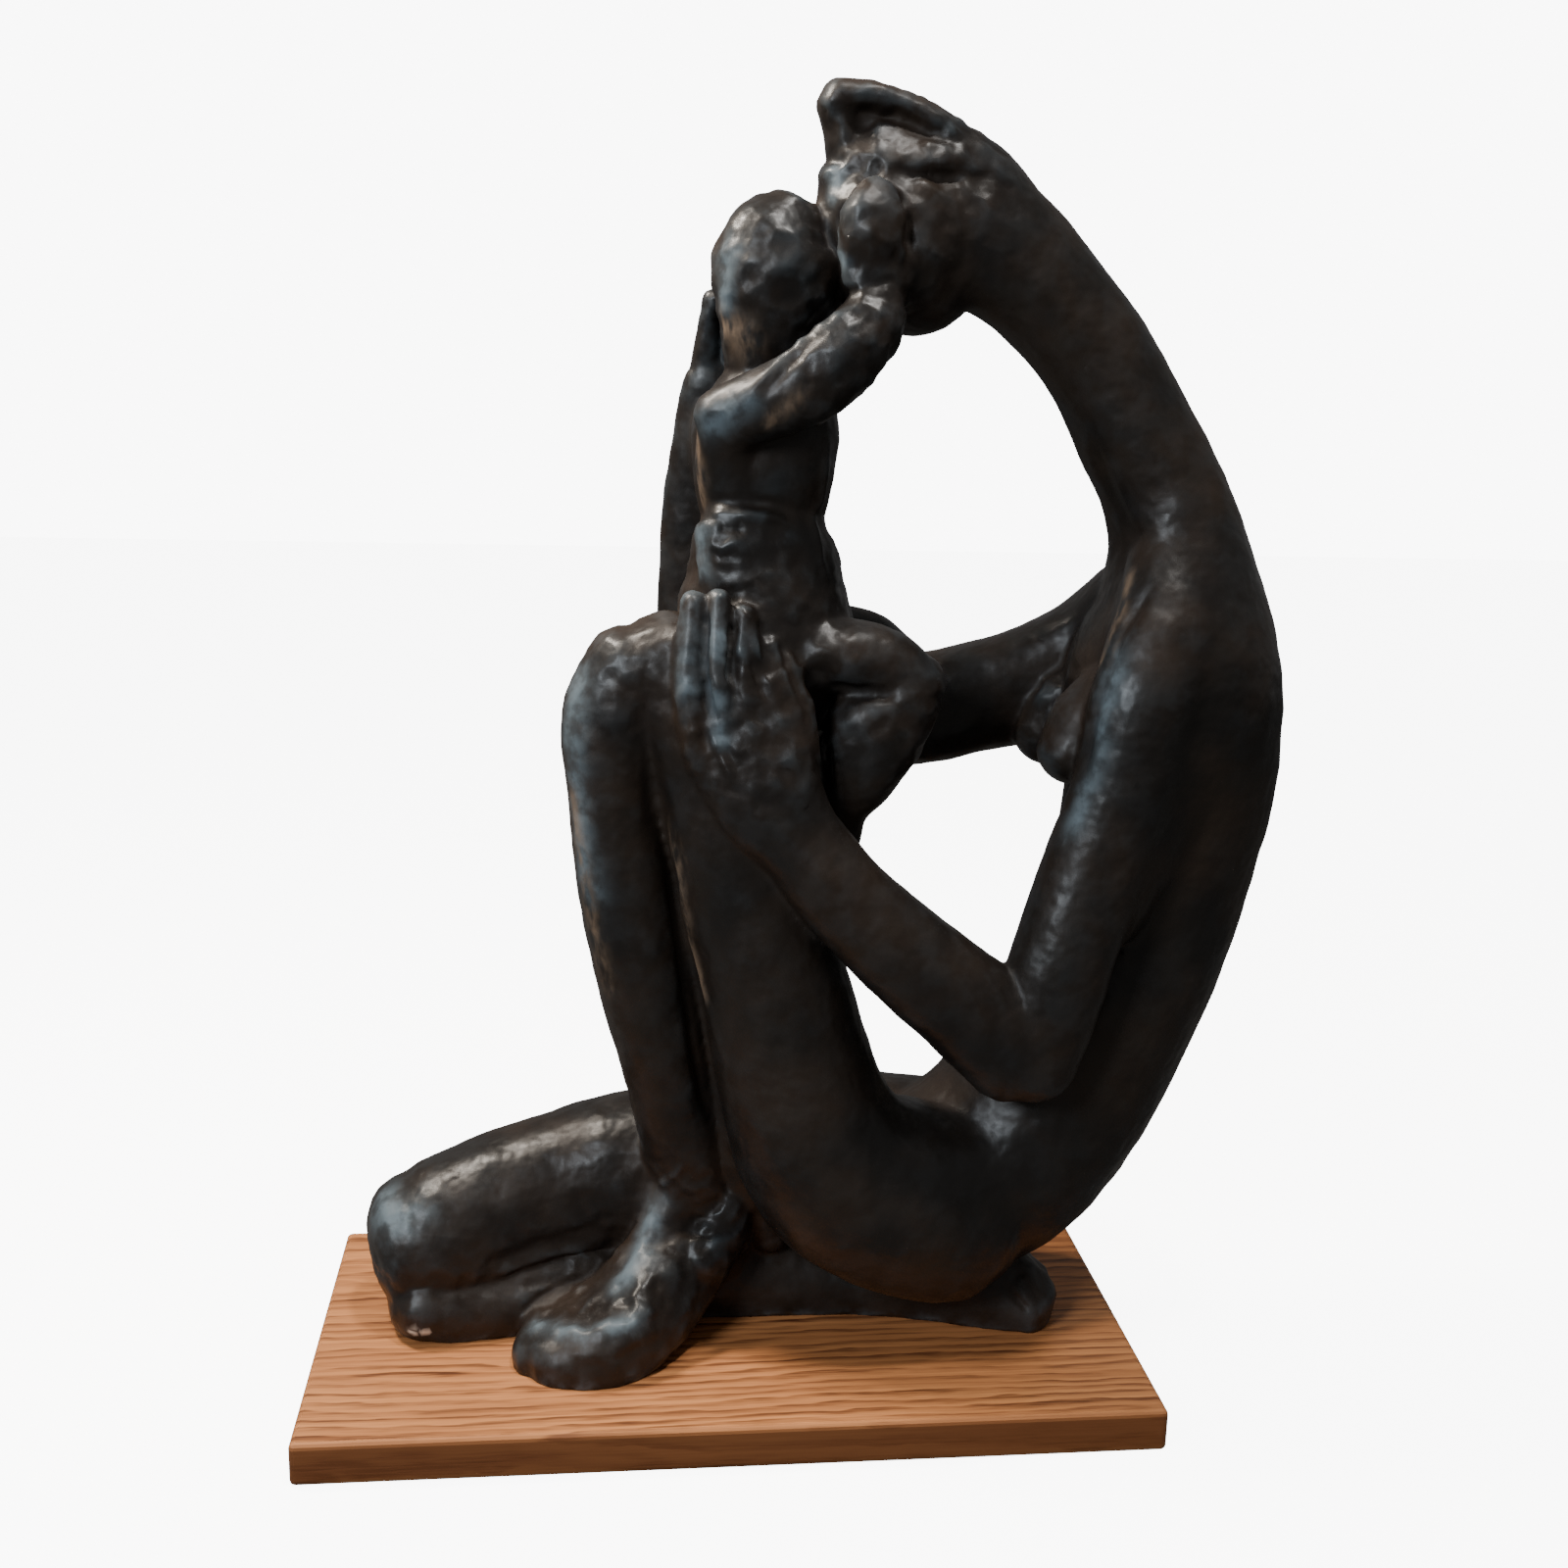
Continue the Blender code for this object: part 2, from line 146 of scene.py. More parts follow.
def oak_material():
    made, tree, shader = new_material("oiled oak", OAK_ROUGHNESS)
    shader.inputs["Specular IOR Level"].default_value = OAK_SHINE
    place = add_node(tree, "ShaderNodeTexCoord").outputs["Object"]
    # Growth rings are nested tubes along X round a pith below and beyond the far edge, bent by the sway
    axes = add_node(tree, "ShaderNodeSeparateXYZ")
    tree.links.new(place, axes.inputs[0])
    across = arithmetic(tree, "SUBTRACT", axes.outputs["Y"], PITH_Y)
    above = arithmetic(tree, "SUBTRACT", axes.outputs["Z"], PITH_Z)
    across_squared = arithmetic(tree, "MULTIPLY", across, across)
    above_squared = arithmetic(tree, "MULTIPLY", above, above)
    radius = arithmetic(tree, "SQRT", arithmetic(tree, "ADD", across_squared, above_squared))
    sway = mottle(tree, place, (5.0, 26.0, 26.0), 1.0, 0.2, 0.8)
    ripple = mottle(tree, place, (38.0, 110.0, 110.0), 2.0, 0.2, 0.8)
    bent = arithmetic(tree, "ADD", radius, arithmetic(tree, "MULTIPLY", sway, GRAIN_SWAY))
    bent = arithmetic(tree, "ADD", bent, arithmetic(tree, "MULTIPLY", ripple, GRAIN_SWAY / 4))
    ring = arithmetic(tree, "DIVIDE", bent, RING_WIDTH)
    phase = arithmetic(tree, "FRACT", ring)
    # Each ring starts with a row of open pores, some years stronger than others
    year = add_node(tree, "ShaderNodeTexWhiteNoise", noise_dimensions="1D")
    tree.links.new(arithmetic(tree, "FLOOR", ring), year.inputs["W"])
    row = add_node(tree, "ShaderNodeValToRGB")
    row.color_ramp.elements[0].position = 0.0
    row.color_ramp.elements[0].color = (0, 0, 0, 1)
    row.color_ramp.elements[1].position = 1.0
    row.color_ramp.elements[1].color = (0, 0, 0, 1)
    for position, level in ((0.10, 1.0), (0.28, 0.9), (0.55, 0.3), (0.8, 0.0)):
        row.color_ramp.elements.new(position).color = (level, level, level, 1)
    tree.links.new(phase, row.inputs[0])
    strength = arithmetic(tree, "MULTIPLY_ADD", year.outputs["Value"], 0.55)
    strength.node.inputs[2].default_value = 0.45
    pores = arithmetic(tree, "MULTIPLY", row.outputs[0], strength)
    streaks = mottle(tree, place, (45.0, 1100.0, 1100.0), 2.0, 0.40, 0.58)
    broken = mottle(tree, place, (22.0, 240.0, 240.0), 2.0, 0.34, 0.6)
    fine = arithmetic(tree, "MULTIPLY", pores, arithmetic(tree, "MULTIPLY", streaks, broken))
    soft = arithmetic(tree, "MULTIPLY_ADD", broken, 0.5)
    soft.node.inputs[2].default_value = 0.42
    soft = arithmetic(tree, "MULTIPLY", pores, soft)
    cloud = mottle(tree, place, (7.0, 60.0, 60.0), 3.0, 0.3, 0.72)
    fibre = mottle(tree, place, (24.0, 1500.0, 1500.0), 2.0, 0.38, 0.66)
    ground = mixed(tree, arithmetic(tree, "MULTIPLY", cloud, 0.55), OAK_LIGHT, OAK_MID)
    ground = mixed(tree, arithmetic(tree, "MULTIPLY", fibre, 0.26), ground, OAK_DARK)
    ground = mixed(tree, soft, ground, OAK_DARK)
    ground = mixed(tree, fine, ground, OAK_PORE)
    # Sides and ends are coloured darker than the planed top: painted shade on the faces turned from the lamp
    # above
    normal = add_node(tree, "ShaderNodeNewGeometry").outputs["Normal"]
    facing = add_node(tree, "ShaderNodeSeparateXYZ")
    tree.links.new(normal, facing.inputs[0])
    side = arithmetic(tree, "SUBTRACT", 1.0, arithmetic(tree, "ABSOLUTE", facing.outputs["Z"]), clamp=True)
    ground = mixed(tree, arithmetic(tree, "MULTIPLY", side, 0.80), ground, OAK_SIDE_SHADE)
    tree.links.new(ground, shader.inputs["Base Color"])
    tree.links.new(arithmetic(tree, "MULTIPLY_ADD", cloud, 0.14), shader.inputs["Roughness"])
    shader.inputs["Roughness"].links[0].from_node.inputs[2].default_value = OAK_ROUGHNESS
    open_pores = arithmetic(tree, "MULTIPLY", fine, -1.0)
    depth = arithmetic(tree, "ADD", open_pores, arithmetic(tree, "MULTIPLY", fibre, 0.04))
    bump = add_node(tree, "ShaderNodeBump", {"Strength": 0.25, "Distance": OAK_RELIEF})
    tree.links.new(depth, bump.inputs["Height"])
    tree.links.new(bump.outputs[0], shader.inputs["Normal"])
    return made


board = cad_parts["oak_board"]
board.data.materials.clear()
board.data.materials.append(oak_material())


# Mother and child casting
# The two figures are one casting, modelled freely by hand, most likely a hollow one of plaster composite.
# The skin is laid here limb by limb, fused, softened where limbs meet, and then worked over with tool marks.
FIGURE_HEIGHT = 0.541
SKIN_CELL = 0.0013
SKIN_PASSES = 5
SKIN_TRIANGLES = 190000

# Stations below are in millimetres of a figure 541 mm tall, from the middle of the board's top
UNIT = FIGURE_HEIGHT / 541
SIDES = 40
STEPS = 8


def spline(stations, steps):
    """Catmull-Rom rows through the stations, steps to a span."""
    rows = np.array(stations, float)
    ends = np.vstack([2 * rows[0] - rows[1], rows, 2 * rows[-1] - rows[-2]])
    out = []
    for i in range(1, len(rows)):
        before, start, end, after = ends[i - 1 : i + 3]
        for t in np.arange(steps) / steps:
            out.append(
                0.5
                * (
                    2 * start
                    + (end - before) * t
                    + (2 * before - 5 * start + 4 * end - after) * t**2
                    + (3 * start - before - 3 * end + after) * t**3
                )
            )
    out.append(rows[-1])
    return np.array(out)


def rounded_ends(rows, start, end):
    """The rows with a dome of sections added at each end, as long as that share of its half width."""
    out = list(rows)
    for share, row, inner, front in ((start, rows[0], rows[1], True), (end, rows[-1], rows[-2], False)):
        away = (row - inner)[:3]
        away /= np.linalg.norm(away)
        for angle in np.radians([25, 50, 72, 86]):
            dome = row.copy()
            dome[:3] += away * row[3] * share * math.sin(angle)
            dome[3:] *= math.cos(angle)
            if front:
                out.insert(0, dome)
            else:
                out.append(dome)
    return np.array(out)


def limb(skin, stations, start=0.8, end=0.8, square=2.0):
    """A closed skin over oval sections, squarer where square is over 2.

    A station is x, y, z, half width across the view, half depth.
    """
    rows = rounded_ends(spline(stations, STEPS), start, end)
    rows[:, :5] *= UNIT
    centres = rows[:, :3]
    along = np.gradient(centres, axis=0)
    rings = []
    for centre, way, (wide, deep) in zip(centres, along, rows[:, 3:5]):
        forward = Vector(way).normalized()
        depth = Vector((0, 1, 0))
        depth = (depth - forward * depth.dot(forward)).normalized()
        width = forward.cross(depth)
        ring = []
        for angle in np.arange(SIDES) * 2 * math.pi / SIDES:
            across = math.copysign(abs(math.cos(angle)) ** (2 / square), math.cos(angle))
            inward = math.copysign(abs(math.sin(angle)) ** (2 / square), math.sin(angle))
            ring.append(skin.verts.new(Vector(centre) + width * (wide * across) + depth * (deep * inward)))
        rings.append(ring)
    for one, two in zip(rings, rings[1:]):
        for i in range(SIDES):
            j = (i + 1) % SIDES
            skin.faces.new((one[i], two[i], two[j], one[j]))
    skin.faces.new(rings[0])
    skin.faces.new(rings[-1][::-1])


def mirrored(stations):
    """The stations on the far side of the middle plane."""
    return [(x, -y, z, wide, deep) for x, y, z, wide, deep in stations]


def mother_torso(skin):
    limb(skin, [
        (90, 0, 58, 44, 46), (127, 2, 80, 47, 49), (153, 1, 117, 46, 45), (173, 0, 157, 43.5, 42),
        (184, 0, 192, 44, 40), (190, 0, 223, 45, 42), (194, 0, 251, 46, 45), (195, 0, 276, 45.5, 49),
        (195, 0, 300, 44, 52), (194, 0, 326, 38.5, 49), (190, 0, 357, 30, 38), (182, 0, 381, 26.5, 30),
        (169, 0, 405, 25, 26), (147, 0, 440, 24, 24), (125, 0, 464, 25, 24), (106, 0, 479, 28, 25),
        (90, 0, 488, 30, 26),
    ])
    # Breasts, and the chest between them and the collar
    for side in (-1, 1):
        limb(skin, [
            (164, 19 * side, 308, 11, 12), (151, 21 * side, 286, 18, 17), (141, 23 * side, 271, 15, 14),
        ])
    limb(skin, [(184, 0, 362, 9, 18), (174, 0, 334, 14, 27), (164, 0, 308, 17, 33), (162, 0, 270, 18, 34)])


def mother_head(skin):
    limb(skin, [
        (58, 0, 508, 26, 22), (60, 0, 496, 33, 28), (66, 0, 480, 36.5, 30), (74, 0, 466, 30, 26),
        (78, 0, 460, 22, 20),
    ], end=0.6)
    # Crest of hair, swept up from the nape to a blunt tip over an open hollow
    limb(skin, [
        (140, 0, 462, 11, 16), (130, 0, 475, 13, 19), (114, 0, 489, 14, 21), (97, 0, 507, 13.5, 20),
        (82, 0, 520, 10, 18), (68, 0, 530, 7, 17), (52, 0, 535.5, 6.5, 16), (35, 0, 536.5, 7, 13),
    ])
    limb(skin, [(35, 0, 534, 8, 13), (38, 0, 524, 7.5, 11), (42, 0, 512, 9.5, 13)])
    limb(skin, [(42, 0, 526, 8, 8), (64, 0, 525, 8, 8), (86, 0, 519, 8, 10)])
    # Roll of hair over the brow
    limb(skin, [
        (96, 0, 509, 13, 19), (74, 0, 510.5, 13, 23.5), (52, 0, 507.5, 12.5, 21), (38, 0, 502, 10.5, 15),
    ])


def near_arm(skin):
    limb(skin, [
        (180, -3, 402, 10, 8), (185, -9, 376, 17, 15), (184, -19, 352, 22, 18), (180, -31, 328, 24.5, 20),
        (172, -38, 309, 24, 21), (165, -42, 293, 22.5, 21), (160, -44, 264, 22, 20),
        (150, -46, 233, 22, 19.5), (139, -50, 199, 22, 19.5), (130, -53, 170, 22.5, 19),
        (121, -53, 146, 23, 18),
    ])
    limb(skin, [
        (119, -53, 150, 25.5, 18), (101, -53, 166, 24, 19), (82, -53, 181, 22, 19),
        (55, -51, 205, 20.5, 18.5), (39, -50, 221, 19.5, 17), (24, -48, 240, 18.5, 15),
    ])
    # Fall of the shoulder into the back
    limb(skin, [
        (190, -20, 352, 16, 14), (190, -28, 318, 22, 20), (184, -32, 278, 20, 19), (174, -36, 238, 16, 17),
        (160, -40, 200, 10, 13),
    ])
    # Hand laid up the child's hip: the palm, then four long fingers
    limb(skin, [
        (26, -48, 236, 18, 15), (12, -47, 256, 23, 15), (5, -45, 274, 27, 14), (3, -42, 292, 26, 12),
        (1, -39, 306, 23, 10),
    ])
    limb(skin, [
        (-17, -44, 272, 7, 9), (-22, -44, 292, 6.5, 9), (-23, -41.5, 315, 6, 8), (-21, -38.5, 338, 5, 6),
    ])
    limb(skin, [
        (-6, -46, 274, 6, 9), (-10, -45.5, 296, 5.5, 9), (-12, -42.5, 318, 5.5, 8), (-11, -39, 339, 4.5, 6),
    ])
    limb(skin, [
        (6, -46, 270, 7, 9), (3, -45, 292, 7, 9), (0, -42, 314, 6.5, 8), (-1, -38.5, 333, 5, 6),
    ])
    limb(skin, [
        (20, -45, 258, 8, 9), (19, -44.5, 279, 8, 8.5), (15, -41.5, 301, 7, 8), (11, -38, 319, 5, 6),
    ])


def far_arm(skin):
    limb(skin, [
        (182, 24, 332, 22, 20), (166, 36, 308, 26, 22), (142, 40, 293, 26.5, 22), (111, 43, 284, 25, 21),
        (87, 45, 278.5, 25, 21), (40, 46, 274, 23, 20), (6, 44, 272, 21, 19), (-8, 42, 274, 19, 18),
    ], square=2.5)
    limb(skin, [
        (-6, 42, 272, 20, 17), (-12, 38, 298, 20, 15), (-15, 34, 325, 18, 13), (-15, 30, 366, 16.5, 11),
        (-12, 26, 403, 15, 9), (-11, 22, 422, 13, 8),
    ])
    limb(skin, [(-16, 25, 412, 7, 6), (-14, 20, 436, 5.5, 5), (-11, 16, 458, 4.5, 4.5)])
    limb(skin, [(-4, 25, 410, 7, 6), (-2, 20, 432, 5.5, 5), (-1, 18, 450, 4.5, 4.5)])


def near_leg(skin):
    limb(skin, [
        (102, -20, 60, 44, 34), (74, -24, 70, 45, 35), (46, -26, 88, 41, 34), (30, -26, 120, 36, 33),
        (16, -25, 175, 31.5, 31), (4, -24, 218, 30, 29), (-10, -22, 260, 27, 27), (-24, -20, 293, 23, 25),
        (-32, -19, 312, 21, 22),
    ], end=0.9)
    limb(skin, [
        (-43, -18, 307, 22.5, 22), (-51, -18, 285, 23.5, 22), (-51, -17, 250, 20.5, 22),
        (-48, -16, 219, 21, 22), (-42, -14, 187, 21.5, 22), (-37, -12, 165, 21.5, 21), (-29, -8, 130, 20, 19),
        (-21, -3, 96, 19.5, 17), (-14, 2, 66, 20, 17), (-6, 7, 40, 18, 15), (-2, 9, 22, 15, 14),
    ])
    # Web that closes the fold between shin and thigh
    limb(skin, [
        (-32, -11, 250, 10, 17), (-20, -9, 195, 10, 16), (-3, -5, 130, 12, 14), (7, -2, 80, 13, 15),
        (13, 6, 58, 13, 16), (20, 12, 38, 11, 16),
    ])
    # Foot: a paddle with a flat top, the heel drawn up to the ankle, the ridge of the instep and three toes
    limb(skin, [
        (4, 4, 46, 12, 14), (-12, 0, 37, 18, 18), (-28, -9, 25, 22, 23.5), (-44, -19, 13, 20.5, 29),
        (-59, -28, 7, 18, 32), (-73, -31, 4, 16, 28.5), (-85, -29, 2, 13.5, 20),
    ], end=0.85, square=3.2)
    limb(skin, [(3, 1, 62, 12, 15), (-2, -1, 49, 14, 18), (-14, -7, 34, 16, 21)])
    limb(skin, [(-20, -2, 68, 15, 12), (-27, -5, 50, 13, 12), (-38, -11, 32, 13, 14), (-50, -17, 19, 11, 17)])
    for toe in range(3):
        x = -84 + 4 * toe
        y = -14 - 9 * toe
        limb(skin, [(x + 24, y + 8, 15, 6.5, 6), (x + 8, y + 3, 12.5, 6, 6), (x - 5, y - 2, 8, 5.5, 6)])


def far_leg(skin):
    limb(skin, [
        (118, 24, 60, 40, 34), (60, 30, 64, 41, 36), (0, 30, 65, 38, 36), (-45, 28, 60, 37, 34),
        (-70, 28, 54, 36, 33), (-106, 22, 44, 36, 32), (-130, 15, 36, 35.5, 32), (-144, 12, 33, 32, 30),
    ], end=0.6, square=2.1)
    limb(skin, [
        (-139, 3, 14, 19, 27), (-110, 6, 9, 20, 25), (-86, 9, 11, 22, 24), (-60, 12, 12, 24, 23),
        (-16, 16, 10, 24, 22), (29, 15, 10, 24, 20), (66, 11, 9, 20, 19), (95, 6, 10, 22, 20),
        (120, -1, 11, 24, 21), (136, -7, 9, 21, 20), (146, -12, 6, 14, 18),
    ], end=0.5)


def child_torso(skin):
    limb(skin, [
        (14, -4, 292, 30, 30), (12, -4, 310, 37, 35), (11, -3, 328, 37, 35), (11, -2, 344, 33, 33),
        (10, -2, 358, 30, 30), (10, -1, 367, 26, 26), (10, 0, 373, 27, 26), (10, 0, 388, 29.5, 28),
        (10, 0, 403, 31, 27), (10, 0, 415, 28, 25), (9, 0, 430, 16, 16),
    ])
    # Hip on the near side, with a ledge under the waist
    limb(skin, [(6, -16, 344, 24, 18), (3, -15, 358, 22, 17), (0, -13.5, 369, 20, 15.5)], end=0.3, square=2.4)
    # Neck and head, its crown tucked under the mother's brow
    limb(skin, [
        (6, -2, 432, 14, 15), (9, -2, 444, 20.5, 20), (12, -2, 456, 25, 24), (14, -2, 469, 27.5, 25),
        (15.5, -2, 480, 24.5, 23), (18, -2, 486, 20, 19), (21, -2, 491, 14.5, 14),
    ], end=0.4)


def child_arm(skin, side):
    # The arm reaches up to the mother's cheek, and the armpit melts into the ribs
    arm = [
        (-10, -24, 408, 14, 13), (5, -30, 415, 14.5, 13), (24, -34, 423, 15.5, 13), (38, -35, 436, 15, 12.5),
        (49, -31, 450, 13, 11.5), (52, -25, 464, 10, 9.5),
    ]
    hand = [
        (48, -28, 467, 12, 10), (47.5, -29, 478, 13.5, 11), (48, -28, 489, 13, 10.5), (49, -26, 495, 10, 9),
    ]
    armpit = [(-6, -19, 406, 14, 14), (-6, -14, 388, 13, 14), (-2, -9, 368, 12, 13)]
    for stations in (arm, hand, armpit):
        limb(skin, stations if side < 0 else mirrored(stations))


def child_leg(skin, side):
    thigh = [(14, -18, 313, 21, 18), (38, -24, 314, 16, 17), (58, -27, 311, 15.5, 15), (72, -28, 301, 15, 14)]
    calf = [
        (68, -29, 298, 16, 15), (57, -29, 283, 21, 16), (50.5, -27, 266, 17.5, 15), (44, -24, 249, 12, 11),
        (44, -21, 234, 9, 8),
    ]
    for stations in (thigh, calf):
        limb(skin, stations if side < 0 else mirrored(stations))


def figure_skin():
    """Every limb of both figures as its own closed skin, overlapping its neighbours."""
    skin = bmesh.new()
    mother_torso(skin)
    mother_head(skin)
    near_arm(skin)
    far_arm(skin)
    near_leg(skin)
    far_leg(skin)
    child_torso(skin)
    for side in (-1, 1):
        child_arm(skin, side)
        child_leg(skin, side)
    bmesh.ops.recalc_face_normals(skin, faces=skin.faces)
    return skin


def islands(skin):
    """The faces of the skin, grouped by what hangs together."""
    waiting = set(skin.faces)
    while waiting:
        group = [waiting.pop()]
        for face in group:
            for edge in face.edges:
                for other in edge.link_faces:
                    if other in waiting:
                        waiting.remove(other)
                        group.append(other)
        yield group


def fused_mesh():
    """One closed skin round all the limbs, in metres on the board."""
    rough = bpy.data.meshes.new("limbs")
    skin = figure_skin()
    skin.to_mesh(rough)
    skin.free()
    former = bpy.data.objects.new("limbs", rough)
    bpy.context.scene.collection.objects.link(former)
    fuse = former.modifiers.new("fuse", "REMESH")
    fuse.mode = "VOXEL"
    fuse.voxel_size = SKIN_CELL
    soften = former.modifiers.new("soften", "SMOOTH")
    soften.factor = 0.5
    soften.iterations = SKIN_PASSES
    graph = bpy.context.evaluated_depsgraph_get()
    made = bpy.data.meshes.new_from_object(former.evaluated_get(graph))
    bpy.data.objects.remove(former)
    bpy.data.meshes.remove(rough)
    skin = bmesh.new()
    skin.from_mesh(made)
    for group in sorted(islands(skin), key=len)[:-1]:
        bmesh.ops.delete(skin, geom=group, context="FACES")
    skin.to_mesh(made)
    skin.free()
    return made


def points_of(mesh):
    """The mesh's points and normals, in millimetres of the figure."""
    places = np.empty(3 * len(mesh.vertices), np.float32)
    mesh.vertices.foreach_get("co", places)
    normals = np.empty(3 * len(mesh.vertices), np.float32)
    mesh.vertices.foreach_get("normal", normals)
    return places.reshape(-1, 3) / UNIT, normals.reshape(-1, 3)


def neighbour_pairs(mesh):
    pairs = np.empty(2 * len(mesh.edges), np.int32)
    mesh.edges.foreach_get("vertices", pairs)
    return pairs.reshape(-1, 2)


def averaged(values, pairs, passes):
    """Each point's value mixed with those of its neighbours, that many times."""
    count = np.bincount(pairs.reshape(-1), minlength=len(values))
    for _ in range(passes):
        total = np.bincount(pairs[:, 0], values[pairs[:, 1]], len(values))
        total += np.bincount(pairs[:, 1], values[pairs[:, 0]], len(values))
        values = 0.5 * values + 0.5 * total / count
    return values


def within(places, balls):
    """How far inside any of the balls each point is, from 0 at the rim to 1 well inside."""
    inside = np.zeros(len(places))
    for *centre, radius in balls:
        away = np.linalg.norm(places - np.array(centre, float), axis=1)
        inside = np.maximum(inside, np.clip(2 * (1 - away / radius), 0, 1))
    return inside


def along_path(places, path):
    """How far each point is from a bent path, and how far along it the nearest spot is, from 0 to 1."""
    path = np.array(path, float)
    runs = np.diff(path, axis=0)
    lengths = np.linalg.norm(runs, axis=1)
    total = lengths.sum()
    nearest = np.full(len(places), np.inf)
    share = np.zeros(len(places))
    passed = 0.0
    for start, run, length in zip(path, runs, lengths):
        t = np.clip((places - start) @ run / length**2, 0, 1)
        away = np.linalg.norm(places - start - t[:, None] * run, axis=1)
        closer = away < nearest
        nearest[closer] = away[closer]
        share[closer] = (passed + t[closer] * length) / total
        passed += length
    return nearest, share


def stroke(places, path, width, depth, fade=0.25):
    """A groove that deep along the path, or a ridge where depth is under zero, fading at both ends."""
    path = np.array(path, float)
    near = np.all((places > path.min(axis=0) - 3 * width) & (places < path.max(axis=0) + 3 * width), axis=1)
    cut = np.zeros(len(places))
    away, share = along_path(places[near], path)
    ends = np.clip(np.minimum(share, 1 - share) / fade, 0, 1)
    cut[near] = -depth * np.exp(-((away / width) ** 2)) * ends * ends * (3 - 2 * ends)
    return cut


def swell(places, centre, radius, height):
    """A soft bump of that height, or a hollow where it is under zero."""
    away = np.linalg.norm(places - np.array(centre, float), axis=1)
    return height * np.exp(-((away / radius) ** 2))


def dabs(places, inside, size, depth):
    """Marks of the modelling tool: shallow scoops side by side, size millimetres across."""
    moved = np.zeros(len(places))
    for i in np.flatnonzero(inside > 0.01):
        distances = noise.voronoi(Vector(places[i]) / size)[0]
        moved[i] = depth * inside[i] * (min(1.0, 1.6 * distances[0] ** 2) - 0.45)
    return moved


def waves(places, inside, size, height):
    """Slow unevenness of a surface shaped by hand."""
    moved = np.zeros(len(places))
    for i in np.flatnonzero(inside > 0.01):
        moved[i] = height * inside[i] * noise.noise(Vector(places[i]) / size)
    return moved


# Balls of x, y, z and radius where one limb runs into the next without a crease
SMOOTHED = [
    (66, -24, 462, 15), (80, -20, 459, 17), (94, -16, 463, 16), (66, 24, 462, 15), (80, 20, 459, 17),
    (94, 16, 463, 16), (70, -32, 124, 15), (86, -34, 113, 20), (100, -42, 102, 22), (114, -46, 86, 20),
    (128, -44, 108, 18), (186, -44, 303, 22), (184, -46, 280, 22), (181, -46, 255, 22), (177, -46, 230, 20),
    (170, -46, 205, 18), (181, -14, 388, 18), (186, -24, 366, 18), (166, -20, 330, 18), (-12, -30, 398, 16),
    (-8, -22, 380, 14), (-38, -26, 318, 16), (-145, 8, 25, 22), (40, -45, 92, 26), (186, 40, 303, 22),
    (-33, 5, 262, 17), (-31, 6, 244, 17), (-27, 7, 222, 17), (-22, 8, 198, 17), (-16, 9, 172, 17),
    (-9, 9, 146, 16), (-3, 9, 122, 16),
]
# Where the modeller left the surface lively: child, hand, knees, feet, hair
LIVELY = [
    (10, -10, 330, 55), (12, 0, 460, 45), (40, -25, 440, 45), (5, -40, 290, 50), (-40, -20, 300, 34),
    (-50, -20, 20, 60), (-20, 0, 50, 50), (-130, 15, 25, 50), (140, 0, 10, 34), (60, 0, 500, 60),
    (60, -20, 290, 40), (150, 0, 285, 34),
]
EASING_PASSES = 70

# Unevenness and tool marks as size and height, in millimetres of the figure
SLOW_WAVES = [(38.0, 0.9), (13.0, 0.45), (5.0, 0.14)]
TOOL_DABS = (10.0, 1.2)
LIVELY_WAVES = (5.0, 0.6)


def eased(places, mesh, passes):
    """The places with the creases inside the smoothed balls averaged away."""
    inside = within(places, SMOOTHED)
    pairs = neighbour_pairs(mesh)
    touched = inside > 0
    pairs = pairs[touched[pairs[:, 0]] | touched[pairs[:, 1]]]
    used, index = np.unique(pairs, return_inverse=True)
    pairs = index.reshape(-1, 2)
    share = inside[used][:, None]
    count = np.bincount(pairs.reshape(-1), minlength=len(used))[:, None]
    moved = places[used].astype(float)
    for _ in range(passes):
        total = np.column_stack([
            np.bincount(pairs[:, 0], moved[pairs[:, 1], axis], len(used))
            + np.bincount(pairs[:, 1], moved[pairs[:, 0], axis], len(used))
            for axis in range(3)
        ])
        moved += share * (total / count - moved)
    places = places.copy()
    places[used] = moved
    return places


def head_marks(places):
    """Hair pressed in with the thumb, and the child's hand on the cheek."""
    moved = stroke(places, [(54, -22, 507), (63, -24, 505), (75, -22, 505), (87, -20, 507)], 2.4, 1.3)
    moved += stroke(places, [(37, -13, 507), (46, -21, 504), (54, -22, 506)], 2.2, 1.1)
    moved += stroke(places, [(59, -27, 499), (60, -31, 491), (62, -30, 482), (64, -29, 472)], 2.2, 1.8)
    moved += stroke(places, [(71, -16, 526), (81, -15, 525), (93, -14, 521), (106, -15, 513)], 2.2, 0.9)
    moved += stroke(places, [(28, -7, 526), (31, -9, 531)], 1.5, 0.9)
    for centre, radius, height in (
        ((75, -28, 486), 6, -1.4), ((62, -25, 500), 4, -1.2), ((70, -25, 500), 4, 1.1),
        ((85, -23, 503), 5, 0.9), ((84, -24, 490), 6, 0.9), ((70, -28, 476), 7, 0.7),
        ((95, -20, 490), 8, -0.7),
    ):
        moved += swell(places, centre, radius, height)
    # Knuckles of the hand, and its overhanging lower edge
    for centre, radius, height in (
        ((40, -37, 490), 5, 1.1), ((46, -39, 481), 5, 1.2), ((50, -33, 495), 4, 0.9),
        ((55, -36, 487), 4, 0.7),
    ):
        moved += swell(places, centre, radius, height)
    moved += stroke(places, [(37, -33, 470), (45, -37, 470), (52, -37, 472), (59, -34, 474)], 4.5, 2.0, 0.15)
    moved += stroke(places, [(36, -22, 489), (35, -24, 480), (37, -31, 471)], 2.4, -1.1)
    return moved


